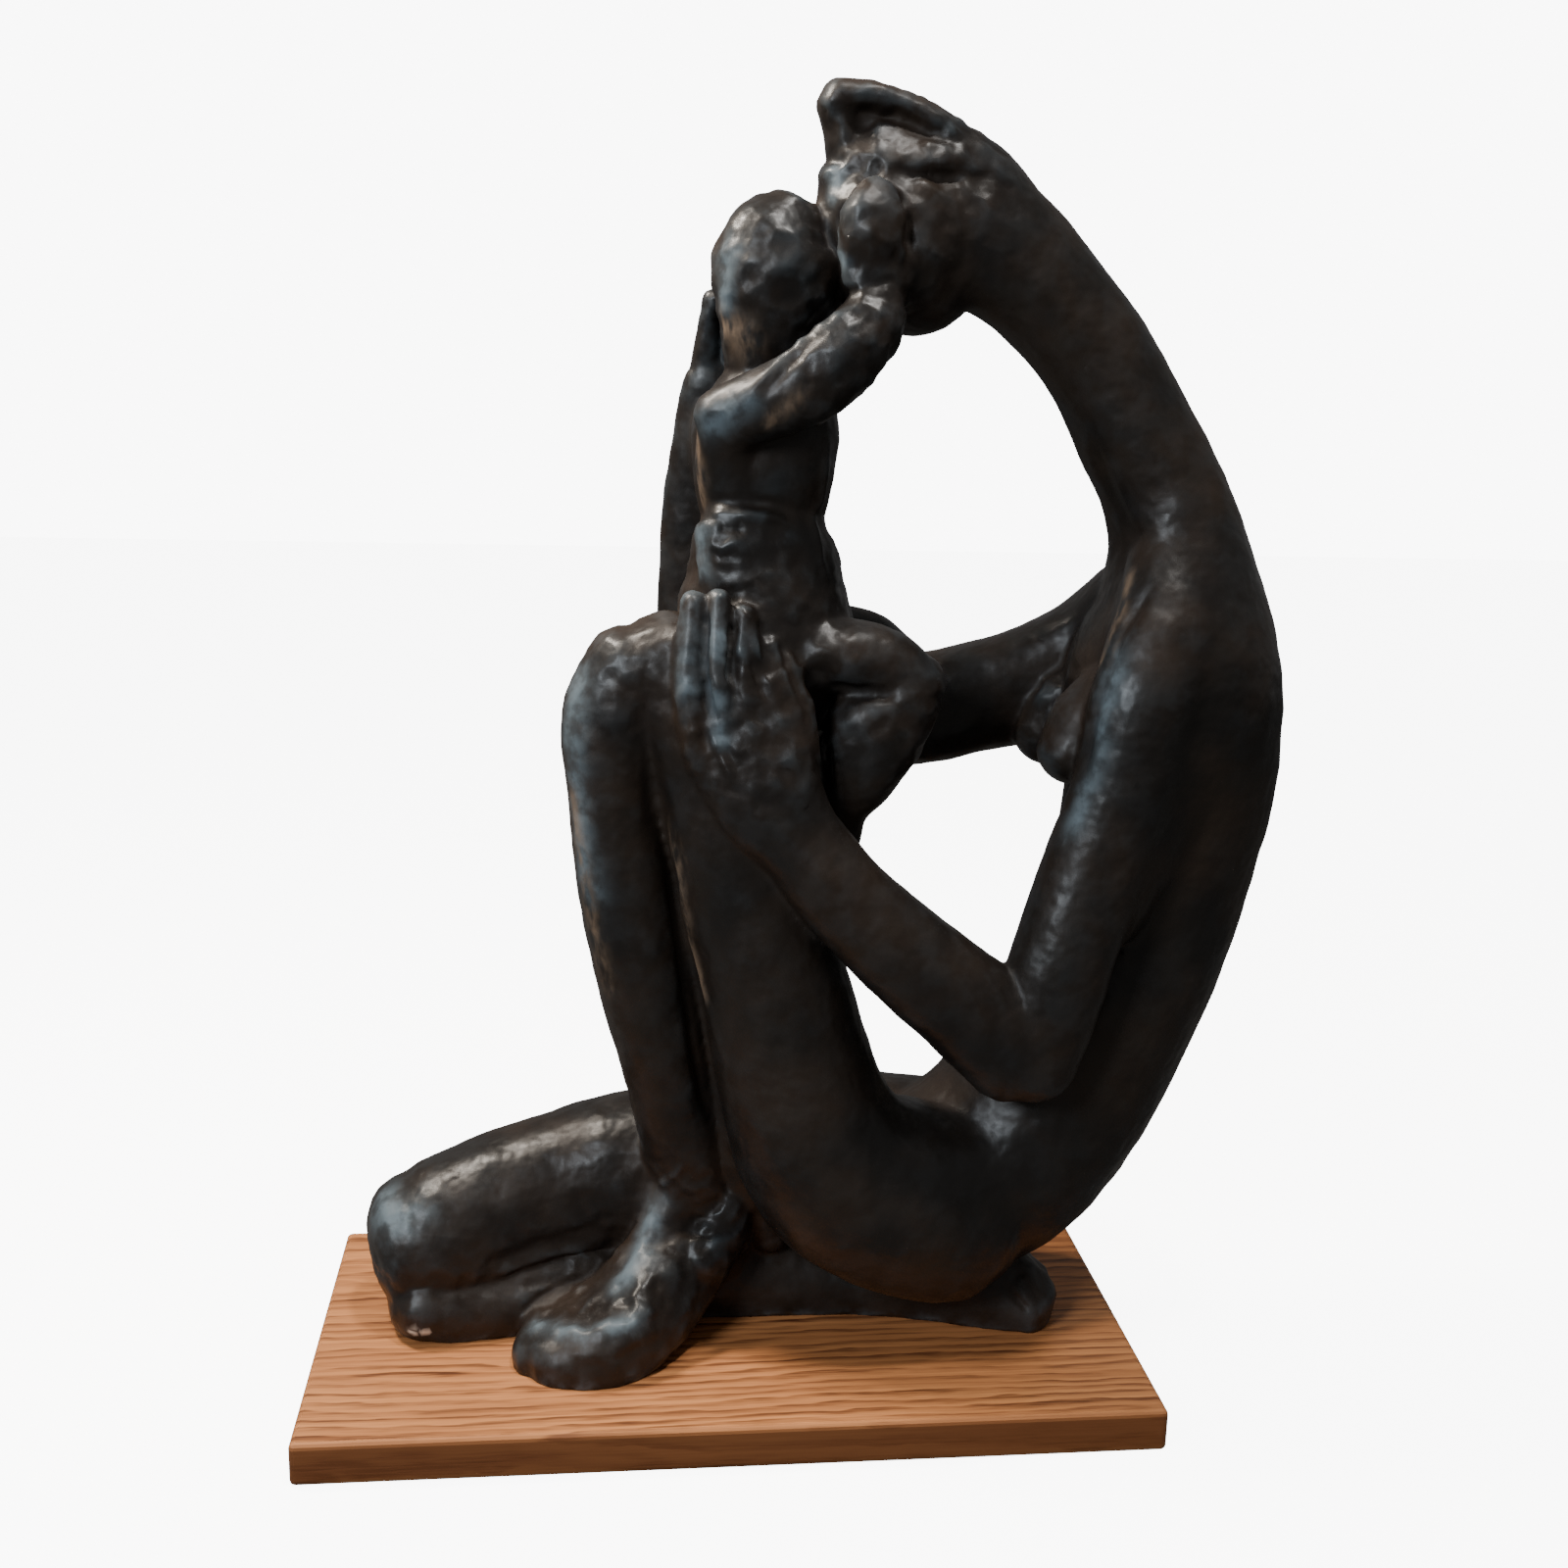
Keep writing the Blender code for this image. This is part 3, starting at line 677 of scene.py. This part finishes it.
def child_marks(places):
    """The child's head, arm, ledge of the waist, and the swirls of clay on its hip."""
    moved = stroke(places, [(-7, -17, 457), (4, -24, 461), (13, -26, 469), (25, -24, 474)], 4, -0.9)
    moved += stroke(places, [(-2, -19, 447), (10, -24, 454), (22, -24, 463)], 6, 0.9)
    moved += stroke(places, [
        (38, -38, 455), (28, -39, 446), (19, -37, 439), (9, -41, 429), (0, -41, 420), (-12, -37, 413),
    ], 3.6, -1.1)
    moved += stroke(places, [(30, -42, 443), (20, -41, 434), (10, -43, 425), (1, -42, 417)], 2.4, 0.8)
    moved += swell(places, (-12, -38, 409), 6, -0.8)
    # Ledge under the waist, sharp along its upper edge
    moved += stroke(places, [
        (-17, -8, 370), (-10, -24, 371), (0, -28, 371), (12, -28, 370), (20, -26, 368),
    ], 2.2, -1.3)
    moved += stroke(places, [
        (-17, -8, 376), (-10, -23, 377), (0, -26, 377), (12, -26, 376), (21, -24, 373),
    ], 2.6, 1.4)
    moved += stroke(places, [
        (-14, -27, 364), (-13, -28, 359), (-9, -30, 358), (-5, -31, 361), (-1, -31, 362),
    ], 1.7, -1.1)
    moved += stroke(places, [(-12, -28, 367), (-6, -29, 366), (0, -30, 366)], 2.0, 0.9)
    moved += stroke(places, [(-8, -31, 353), (-4, -33, 352), (0, -33, 353)], 1.5, -0.4)
    moved += stroke(places, [(-8, -32, 346), (-3, -33, 344)], 1.8, -0.3)
    moved += swell(places, (-7, -31, 356), 3, -0.8)
    moved += stroke(places, [
        (36, -15, 407), (34, -18, 393), (32, -16, 377), (29, -21, 368), (31, -24, 358), (35, -27, 342),
    ], 2.6, -1.2)
    # Thigh and calf, with the wedge between them and the pit behind the hand
    moved += swell(places, (31, -39, 308), 5, -3.0)
    moved += stroke(places, [(33, -36, 303), (45, -37, 300), (54, -40, 300), (64, -42, 301)], 3.0, 2.6)
    moved += swell(places, (44, -42, 314), 7, 1.4) + swell(places, (50, -43, 290), 6, 1.0)
    moved += stroke(places, [(37, -38, 281), (39, -38, 266), (41, -36, 249)], 1.6, -1.0)
    return moved


def hand_marks(places):
    """Fingers parted by grooves, and the tendons of the back of the hand."""
    moved = np.zeros(len(places))
    for path, width, depth in (
        ([(-15, -34, 341), (-16, -46, 328), (-17, -48, 317), (-16, -50, 305), (-13, -53, 290)], 1.7, 2.0),
        ([(-5, -36, 338), (-6, -46, 324), (-7, -49, 313), (-6, -51, 303)], 1.9, 2.1),
        ([(-10, -48, 328), (-8, -49, 319), (-8, -50, 311)], 1.3, -1.0),
        ([(3, -44, 328), (4, -47, 320), (8, -49, 309), (12, -51, 301)], 1.4, -1.2),
        ([(-1, -46, 328), (1, -49, 317), (5, -51, 307), (9, -52, 298)], 1.6, 1.3),
        ([(13, -38, 325), (17, -45, 313), (22, -48, 303), (27, -50, 290)], 2.0, 1.3),
        ([(-19, -50, 305), (-16, -52, 291), (-11, -55, 280), (-7, -58, 271), (-2, -59, 261)], 1.7, -1.2),
        ([(-15, -53, 300), (-12, -55, 289), (-7, -58, 279), (-2, -60, 268)], 1.8, 1.1),
        ([(-23, -53, 298), (-20, -53, 284), (-13, -55, 272)], 1.6, -1.0),
        ([(-1, -52, 306), (5, -55, 293), (11, -58, 279), (17, -61, 264)], 3.0, 1.0),
        ([(11, -53, 298), (17, -57, 283), (21, -59, 271)], 2.6, -0.9),
        ([(24, -50, 297), (31, -52, 277), (36, -52, 262)], 3.2, 1.1),
        ([(4, -57, 262), (16, -62, 246), (30, -64, 232), (48, -67, 216)], 4.0, -0.7),
    ):
        moved += stroke(places, path, width, depth)
    return moved


def leg_marks(places):
    """Furrow between shin and thigh, fold of the far calf, ankle, instep and toes."""
    moved = swell(places, (-42, -38, 314), 8, 0.9)
    for path, width, depth in (
        ([(-50, -40, 296), (-42, -39, 276), (-37, -36, 255), (-34, -35, 235)], 7.0, 1.2),
        ([(-33, -33, 252), (-29, -28, 226), (-26, -27, 200), (-22, -26, 173), (-19, -24, 146),
          (-13, -19, 116), (-2, -16, 92)], 2.6, 2.2),
        ([(-29, -37, 241), (-24, -37, 218), (-20, -30, 191), (-14, -33, 170), (-9, -39, 151),
          (-1, -46, 132)], 3.2, -1.1),
        ([(-114, -12, 25), (-99, -8, 30), (-83, -5, 34), (-63, -3, 36), (-46, -11, 38)], 3.4, -2.0),
        ([(-112, -13, 32), (-95, -8, 38), (-75, -4, 43), (-55, -3, 46)], 4.0, 1.4),
        ([(-103, -11, 22), (-83, -9, 24), (-63, -8, 24), (-50, -17, 28)], 2.6, 1.2),
        ([(-95, -16, 12), (-85, -13, 19), (-72, -10, 24), (-61, -8, 27)], 1.7, 1.3),
        ([(-92, -20, 12), (-81, -16, 19), (-68, -15, 24), (-59, -18, 28)], 1.7, -1.1),
        ([(-88, -25, 15), (-78, -22, 20), (-66, -21, 24)], 1.6, 1.2),
        ([(-86, -31, 16), (-76, -44, 19), (-63, -51, 21), (-51, -52, 24), (-40, -47, 27),
          (-34, -41, 29)], 3.4, -1.4),
        ([(-84, -47, 10), (-66, -60, 11), (-47, -60, 14), (-30, -46, 20)], 6.0, 1.0),
        ([(-32, -12, 62), (-37, -17, 48), (-42, -25, 40), (-48, -31, 34)], 4.6, -1.6),
        ([(-33, -8, 68), (-28, -14, 75), (-20, -19, 86)], 1.8, -1.3),
        ([(-17, -14, 56), (-4, -15, 58), (3, -15, 73)], 2.0, -1.4),
        ([(-2, -17, 97), (3, -18, 88), (8, -20, 76)], 2.0, -1.2),
        ([(-24, -16, 52), (-11, -20, 50), (3, -17, 53), (9, -13, 60)], 2.4, 1.2),
        ([(-20, -27, 40), (-11, -25, 44), (-4, -21, 50)], 2.2, -1.0),
        ([(125, -20, 25), (131, -24, 18), (139, -28, 11)], 1.9, 1.4),
        ([(133, -15, 29), (138, -20, 22), (145, -25, 14)], 1.9, 1.4),
    ):
        moved += stroke(places, path, width, depth)
    for centre, radius, height in (
        ((-84, -33, 18), 4, 0.9), ((-70, -48, 20), 4, 0.9), ((-56, -52, 23), 4, 0.9),
        ((-38, -45, 27), 4, 1.0), ((-47, -44, 27), 5, -0.6), ((-36, -30, 34), 4, 0.8),
        ((-81, 3, 77), 3, -0.5),
    ):
        moved += swell(places, centre, radius, height)
    return moved


def arm_marks(places):
    """Furrow down the front of the upper arm, the neck above it, the chest and the elbow."""
    moved = np.zeros(len(places))
    for path, width, depth in (
        ([(174, -37, 354), (163, -41, 340), (153, -43, 324), (147, -48, 306), (142, -49, 281),
          (136, -52, 258)], 3.2, 2.0),
        ([(144, -14, 407), (153, -12, 387), (162, -15, 369), (167, -24, 358)], 3.8, 1.6),
        ([(172, -24, 400), (178, -28, 385), (181, -31, 371)], 4.0, -1.0),
        ([(149, 15, 310), (141, 16, 299), (132, 18, 289)], 2.6, 1.0),
        ([(147, -11, 304), (142, 0, 298), (136, 11, 282)], 2.2, 0.9),
        ([(102, -64, 189), (108, -66, 181), (114, -69, 170)], 2.4, 0.6),
    ):
        moved += stroke(places, path, width, depth)
    return moved + swell(places, (136, -35, 274), 5, 0.8)


def worked(mesh):
    """Eases the creases of the fused skin and presses the tool marks into it."""
    places, _ = points_of(mesh)
    places = eased(places, mesh, EASING_PASSES)
    mesh.vertices.foreach_set("co", (places * UNIT).astype(np.float32).reshape(-1))
    mesh.update()
    places, normals = points_of(mesh)
    everywhere = np.ones(len(places))
    lively = within(places, LIVELY)
    moved = np.zeros(len(places))
    for size, height in SLOW_WAVES:
        moved += waves(places, everywhere, size, height)
    moved += dabs(places, lively, *TOOL_DABS)
    moved += waves(places, lively, *LIVELY_WAVES)
    moved += head_marks(places) + child_marks(places) + hand_marks(places)
    moved += leg_marks(places) + arm_marks(places)
    places += normals * moved[:, None]
    mesh.vertices.foreach_set("co", (places * UNIT).astype(np.float32).reshape(-1))
    mesh.update()


def ground_flat(mesh):
    """Cuts the underside flat where it meets the board, and lifts the casting on to it."""
    skin = bmesh.new()
    skin.from_mesh(mesh)
    everything = skin.verts[:] + skin.edges[:] + skin.faces[:]
    bmesh.ops.bisect_plane(skin, geom=everything, plane_co=(0, 0, 0), plane_no=(0, 0, 1), clear_inner=True)
    rims = [edge for edge in skin.edges if edge.is_boundary]
    closed = bmesh.ops.edgenet_fill(skin, edges=rims)
    bmesh.ops.triangulate(skin, faces=closed["faces"])
    bmesh.ops.recalc_face_normals(skin, faces=skin.faces)
    bmesh.ops.translate(skin, verts=skin.verts, vec=(0, 0, casting_low.z))
    skin.to_mesh(mesh)
    skin.free()


def thinned(mesh, most):
    """The mesh with no more than that many triangles, fewest where it is flattest."""
    holder = bpy.data.objects.new("thinned", mesh)
    bpy.context.scene.collection.objects.link(holder)
    count = sum(len(face.vertices) - 2 for face in mesh.polygons)
    facets = holder.modifiers.new("facets", "DECIMATE")
    facets.ratio = min(1.0, most / count)
    made = bpy.data.meshes.new_from_object(holder.evaluated_get(bpy.context.evaluated_depsgraph_get()))
    bpy.data.objects.remove(holder)
    return made


casting_low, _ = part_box("mother_and_child")
skin_mesh = fused_mesh()
worked(skin_mesh)
figure_mesh = thinned(skin_mesh, SKIN_TRIANGLES)
ground_flat(figure_mesh)
figure_mesh.shade_smooth()
figure = bpy.data.objects.new("mother_and_child_casting", figure_mesh)
bpy.context.scene.collection.objects.link(figure)


# Patina
# Thin coats of black-brown colour and wax over the plaster, satin, rubbed back to blue-grey and tan on the
# edges that are handled, with a few chips low down that bare the white plaster. The blue-grey and tan are
# partly that wear and partly painted highlight, cool from the window and warm from the lamp.
PATINA_DARK = (0.0120, 0.0098, 0.0085)
PATINA_BROWN = (0.024, 0.0155, 0.0105)
# Blue-grey and tan are partly rubbed-back patina and partly painted highlight, cool from the window and warm
# from the lamp
PATINA_BLUE_AND_HIGHLIGHT = (0.105, 0.130, 0.145)
PATINA_TAN_AND_HIGHLIGHT = (0.23, 0.155, 0.10)
PLASTER = (0.62, 0.58, 0.50)
PATINA_SHINE = 0.25
PATINA_ROUGHNESS = 0.32
PATINA_RELIEF = 0.0007

# Worn places, partly painted highlight, as paths and the width of the wear, in millimetres of the figure
BLUE_WEAR_AND_HIGHLIGHT = [
    ([(-66, -28, 303), (-69, -31, 278), (-66, -30, 240), (-62, -30, 215)], 7.0),
    ([(-16, -34, 405), (-12, -37, 410), (-3, -41, 418)], 6.5),
    ([(-7, -17, 477), (-9, -15, 466), (-9, -14, 455)], 5.5),
    ([(154, -47, 318), (147, -53, 300), (143, -55, 278), (137, -56, 250)], 5.5),
    ([(-32, -12, 62), (-37, -17, 48), (-42, -25, 40), (-48, -31, 34)], 6.0),
    ([(-86, -31, 16), (-76, -44, 19), (-63, -51, 21), (-51, -52, 24), (-40, -47, 27)], 4.5),
    ([(-156, 2, 60), (-150, -6, 56), (-143, -8, 58)], 9.0),
    ([(-18, -22, 362), (-20, -26, 350), (-22, -40, 330), (-22, -50, 305)], 5.0),
    ([(-11, -46, 330), (-12, -50, 305), (-10, -55, 285)], 4.0),
    ([(33, -12, 507), (35, -14, 498)], 4.0),
    ([(35, -24, 482), (37, -31, 471)], 3.0),
    ([(-10, 22, 440), (-18, 26, 405)], 6.0),
]
# Tan along these paths is partly worn patina and partly a painted warm highlight
TAN_WEAR_AND_HIGHLIGHT = [
    ([(-67, -26, 255), (-65, -27, 228), (-60, -28, 200), (-54, -26, 172)], 4.0),
    ([(-29, -37, 241), (-24, -37, 218), (-20, -30, 191), (-14, -33, 170)], 3.5),
    ([(-22, -12, 412), (-21, -18, 400), (-19, -20, 388), (-18, -12, 376)], 3.5),
    ([(160, -27, 348), (156, -35, 332), (150, -38, 315)], 3.5),
    ([(-6, -13, 445), (0, -18, 440)], 6.5),
    ([(28, -42, 428), (18, -44, 418), (6, -42, 408)], 3.0),
]
# Chips as balls of x, y, z and radius
CHIPS = [(-141, -21, 8, 2.6), (-135, -22, 8, 3.0), (132, -46, 75, 1.6), (130, -46, 69, 1.6)]

# How strongly a bend of the skin shows as a rubbed edge with painted highlight or a dusty hollow, and the
# passes that soften it
BEND_GAIN = 6
BEND_PASSES = 6


def wear_and_highlight_along(places, paths):
    """How much painted wear and highlight each point carries, 1 on any of the paths and fading towards 0
    beyond its width.
    """
    wear = np.zeros(len(places))
    for path, width in paths:
        away, _ = along_path(places, path)
        wear = np.maximum(wear, np.exp(-((away / width) ** 2)))
    return wear


def convexity(mesh):
    """How sharply the skin turns outwards at each point, per millimetre, and inwards where under zero."""
    places, normals = points_of(mesh)
    pairs = neighbour_pairs(mesh)
    run = places[pairs[:, 1]] - places[pairs[:, 0]]
    turn = ((normals[pairs[:, 1]] - normals[pairs[:, 0]]) * run).sum(axis=1) / (run**2).sum(axis=1)
    total = np.bincount(pairs[:, 0], turn, len(places)) + np.bincount(pairs[:, 1], turn, len(places))
    count = np.bincount(pairs.reshape(-1), minlength=len(places))
    return averaged(total / count, pairs, BEND_PASSES)


def keep(mesh, name, values):
    """The values, held between 0 and 1, as an attribute of the mesh's points."""
    made = mesh.attributes.new(name, "FLOAT", "POINT")
    made.data.foreach_set("value", np.clip(values, 0, 1).astype(np.float32))


bend = convexity(figure_mesh)
keep(figure_mesh, "edge", bend * BEND_GAIN)
keep(figure_mesh, "hollow", -bend * BEND_GAIN)
figure_places = points_of(figure_mesh)[0] - np.array([0, 0, casting_low.z / UNIT])
# Paths of wear that also carry painted highlight
keep(figure_mesh, "blue_wear_and_highlight", wear_and_highlight_along(figure_places, BLUE_WEAR_AND_HIGHLIGHT))
keep(figure_mesh, "tan_wear_and_highlight", wear_and_highlight_along(figure_places, TAN_WEAR_AND_HIGHLIGHT))
keep(figure_mesh, "chip", within(figure_places, CHIPS))


def attribute(tree, name):
    return add_node(tree, "ShaderNodeAttribute", attribute_name=name).outputs["Fac"]


def patina_material():
    made, tree, shader = new_material("dark patina", PATINA_ROUGHNESS)
    shader.inputs["Specular IOR Level"].default_value = PATINA_SHINE
    place = add_node(tree, "ShaderNodeTexCoord").outputs["Object"]
    edge = attribute(tree, "edge")
    hollow = attribute(tree, "hollow")
    clouds = mottle(tree, place, (22.0, 22.0, 22.0), 4.0, 0.36, 0.66)
    grain = mottle(tree, place, (300.0, 300.0, 300.0), 3.0, 0.3, 0.7)
    rub_and_highlight_patches = mottle(tree, place, (90.0, 90.0, 90.0), 5.0, 0.38, 0.62)
    streaky = mottle(tree, place, (160.0, 160.0, 60.0), 4.0, 0.35, 0.65)
    ground = mixed(tree, clouds, PATINA_DARK, PATINA_BROWN)
    # Blue-grey bloom on high edges, and painted more fully where hands have worn it; the blue-grey is partly
    # that wear and partly a painted cool highlight
    high = arithmetic(tree, "MULTIPLY", arithmetic(tree, "MULTIPLY", edge, rub_and_highlight_patches), 0.42)
    patchy = arithmetic(tree, "ADD", arithmetic(tree, "MULTIPLY", rub_and_highlight_patches, 0.65), 0.35)
    handled_and_highlight = arithmetic(tree, "MULTIPLY", attribute(tree, "blue_wear_and_highlight"), patchy)
    blue = arithmetic(tree, "ADD", high, handled_and_highlight, clamp=True)
    ground = mixed(tree, blue, ground, PATINA_BLUE_AND_HIGHLIGHT)
    # Tan on its paths: partly worn patina, partly painted warm highlight
    tan = arithmetic(tree, "MULTIPLY", attribute(tree, "tan_wear_and_highlight"), streaky)
    ground = mixed(tree, arithmetic(tree, "MULTIPLY", tan, 0.8), ground, PATINA_TAN_AND_HIGHLIGHT)
    ground = mixed(tree, attribute(tree, "chip"), ground, PLASTER)
    tree.links.new(ground, shader.inputs["Base Color"])
    dusty = arithmetic(tree, "MULTIPLY", hollow, 0.25)
    rough = arithmetic(tree, "ADD", dusty, arithmetic(tree, "MULTIPLY", grain, 0.06))
    rough = arithmetic(tree, "ADD", rough, arithmetic(tree, "MULTIPLY", clouds, 0.10))
    rough = arithmetic(tree, "ADD", rough, arithmetic(tree, "MULTIPLY", tan, 0.25))
    rough = arithmetic(tree, "ADD", rough, PATINA_ROUGHNESS, clamp=True)
    tree.links.new(rough, shader.inputs["Roughness"])
    # Small soft dimples left by the fingers break up the shine
    dimples = mottle(tree, place, (130.0, 130.0, 130.0), 1.0, 0.15, 0.85)
    relief = arithmetic(tree, "ADD", dimples, arithmetic(tree, "MULTIPLY", grain, 0.06))
    bump = add_node(tree, "ShaderNodeBump", {"Strength": 0.5, "Distance": PATINA_RELIEF})
    tree.links.new(relief, bump.inputs["Height"])
    tree.links.new(bump.outputs[0], shader.inputs["Normal"])
    return made


figure_mesh.materials.clear()
figure_mesh.materials.append(patina_material())
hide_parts("mother_and_child")
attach(figure, "root")


# Studio
# A white floor and backdrop, a warm lamp above and beyond the left end of the board and a little behind it,
# a small light high over the front, and a broad cool one from the left front.
def area_light(name, place, target, size, watts, colour):
    lamp = bpy.data.lights.new(name, "AREA")
    lamp.energy = watts
    lamp.size = size
    lamp.color = colour
    made = bpy.data.objects.new(name, lamp)
    made.location = place
    made.rotation_euler = (Vector(target) - Vector(place)).to_track_quat("-Z", "Y").to_euler()
    bpy.context.scene.collection.objects.link(made)


area_light(
    "lamp", place=(-0.45, 0.10, 0.95), target=(0.0, 0.0, 0.1),
    size=0.14, watts=11.5, colour=(1.0, 0.90, 0.78),
)
area_light(
    "ceiling", place=(0.20, -0.30, 1.70), target=(0.0, 0.0, 0.25),
    size=0.14, watts=16.0, colour=(1.0, 0.97, 0.93),
)
area_light(
    "window", place=(-1.1, -1.2, 1.1), target=(0.0, 0.0, 0.3),
    size=0.5, watts=24.0, colour=(0.84, 0.92, 1.0),
)

FLOOR_SIDE = 8.0
PAPER_WHITE = (0.8, 0.8, 0.8, 1.0)
PAPER_DIM = (0.12, 0.12, 0.12, 1.0)
PAPER_GLOW = 8.0
BACKDROP_SEEN = 9.0
BACKDROP_LIGHT = 0.22

bpy.ops.mesh.primitive_plane_add(size=FLOOR_SIDE, location=(0, 0, 0))
floor = bpy.context.object
floor.name = "floor"
paper, paper_tree, paper_shader = new_material("pale paper", 0.9)
paper_shader.inputs["Base Color"].default_value = PAPER_WHITE
paper_shader.inputs["Specular IOR Level"].default_value = 0.0
# Lit like the backdrop where it is looked at, and a dim grey to everything else
bright = paper_tree.nodes.new("ShaderNodeLightPath")
glow = paper_tree.nodes.new("ShaderNodeEmission")
glow.inputs["Strength"].default_value = PAPER_GLOW
both = paper_tree.nodes.new("ShaderNodeAddShader")
dim = paper_tree.nodes.new("ShaderNodeBsdfDiffuse")
dim.inputs["Color"].default_value = PAPER_DIM
chosen = paper_tree.nodes.new("ShaderNodeMixShader")
paper_tree.links.new(paper_shader.outputs[0], both.inputs[0])
paper_tree.links.new(glow.outputs[0], both.inputs[1])
paper_tree.links.new(bright.outputs["Is Camera Ray"], chosen.inputs[0])
paper_tree.links.new(dim.outputs[0], chosen.inputs[1])
paper_tree.links.new(both.outputs[0], chosen.inputs[2])
paper_tree.links.new(chosen.outputs[0], paper_tree.nodes["Material Output"].inputs["Surface"])
floor.data.materials.append(paper)

# The backdrop is white to the camera, and a dimmer grey as a light on the figure
world = bpy.data.worlds.new("studio")
bpy.context.scene.world = world
world.use_nodes = True
sky = world.node_tree.nodes["Background"]
sky.inputs["Color"].default_value = (1.0, 1.0, 1.0, 1.0)
seen = world.node_tree.nodes.new("ShaderNodeLightPath")
level_of = world.node_tree.nodes.new("ShaderNodeMapRange")
level_of.inputs["To Min"].default_value = BACKDROP_LIGHT
level_of.inputs["To Max"].default_value = BACKDROP_SEEN
world.node_tree.links.new(seen.outputs["Is Camera Ray"], level_of.inputs["Value"])
world.node_tree.links.new(level_of.outputs[0], sky.inputs["Strength"])

# The camera stands before the board's left half, a little above the mother's shoulder, and looks down
CAMERA_PLACE = Vector((-0.0616, -0.7443, 0.4447))
CAMERA_PITCH = math.radians(12.92)
CAMERA_YAW = math.radians(6.38)
CAMERA_ROLL = math.radians(1.46)
CAMERA_LENS = 40.5

sight = Vector((
    math.sin(CAMERA_YAW) * math.cos(CAMERA_PITCH),
    math.cos(CAMERA_YAW) * math.cos(CAMERA_PITCH),
    -math.sin(CAMERA_PITCH),
))
level = Vector((math.cos(CAMERA_YAW), -math.sin(CAMERA_YAW), 0))
right = math.cos(CAMERA_ROLL) * level + math.sin(CAMERA_ROLL) * level.cross(sight)
camera_data = bpy.data.cameras.new("camera")
camera_data.lens = CAMERA_LENS
camera = bpy.data.objects.new("camera", camera_data)
turned = Matrix((right, right.cross(sight), -sight)).transposed().to_4x4()
camera.matrix_world = Matrix.Translation(CAMERA_PLACE) @ turned
bpy.context.scene.collection.objects.link(camera)
bpy.context.scene.camera = camera
